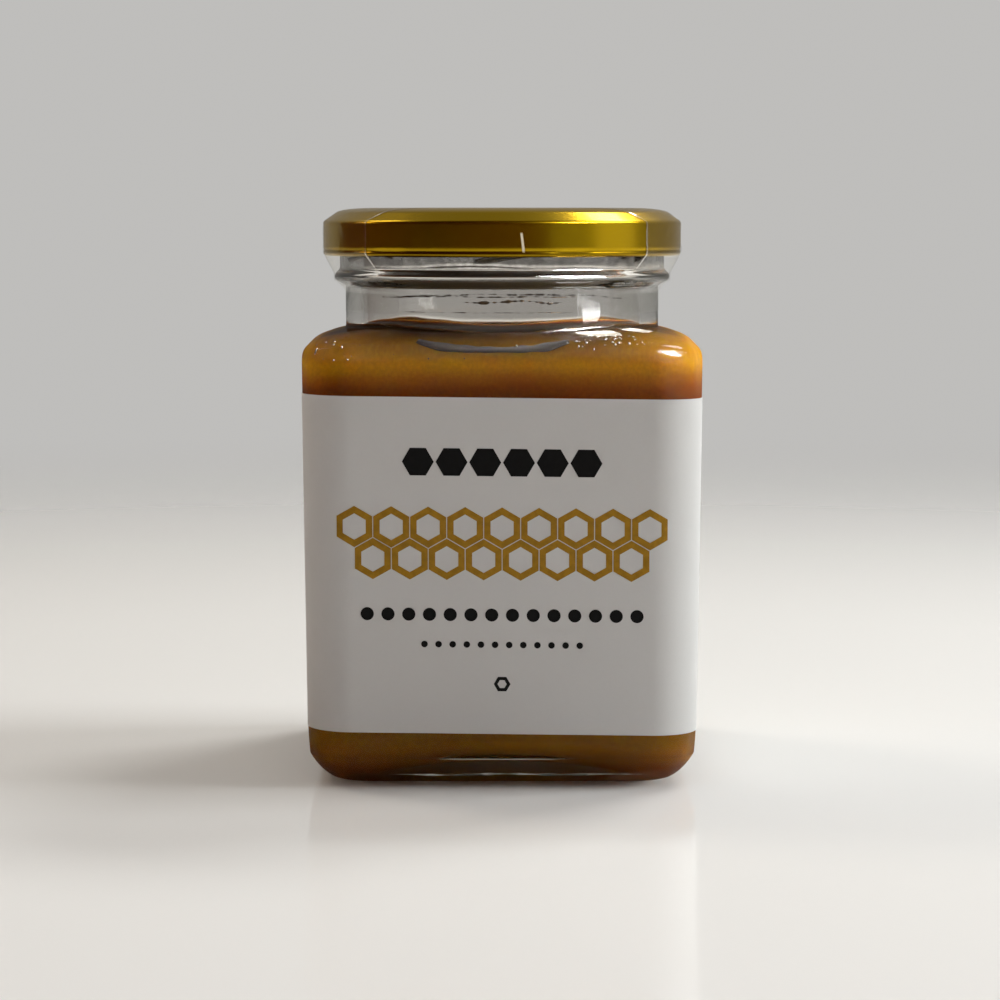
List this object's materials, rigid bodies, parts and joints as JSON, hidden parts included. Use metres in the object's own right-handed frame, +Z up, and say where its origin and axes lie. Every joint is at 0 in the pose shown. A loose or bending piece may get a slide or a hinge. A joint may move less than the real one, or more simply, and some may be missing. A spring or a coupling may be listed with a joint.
{
  "type": "honey jar",
  "caption": "Square clear glass jar filled with honey, with a round neck, a gold twist-off lid, a paper label around the body and clear sealing tape over the lid.",
  "frame": {"origin": "under the middle of the base, on the surface that the jar stands on", "axes": "+Z up along the jar's axis, -Y towards the front, +X to the right seen from the front"},
  "size_m": [0.0924, 0.0924, 0.1322],
  "materials": {
    "glass": "clear, smooth",
    "honey": "opaque golden brown food, soft gloss",
    "lid_gold": "glossy gold lacquer on tinplate",
    "label_paper": null,
    "clear_tape": "clear film"
  },
  "bodies": {
    "root": {"jar": "glass", "honey": "honey", "lid": "lid_gold", "label": "label_paper", "seal_tape": "clear_tape"}
  },
  "joints": []
}
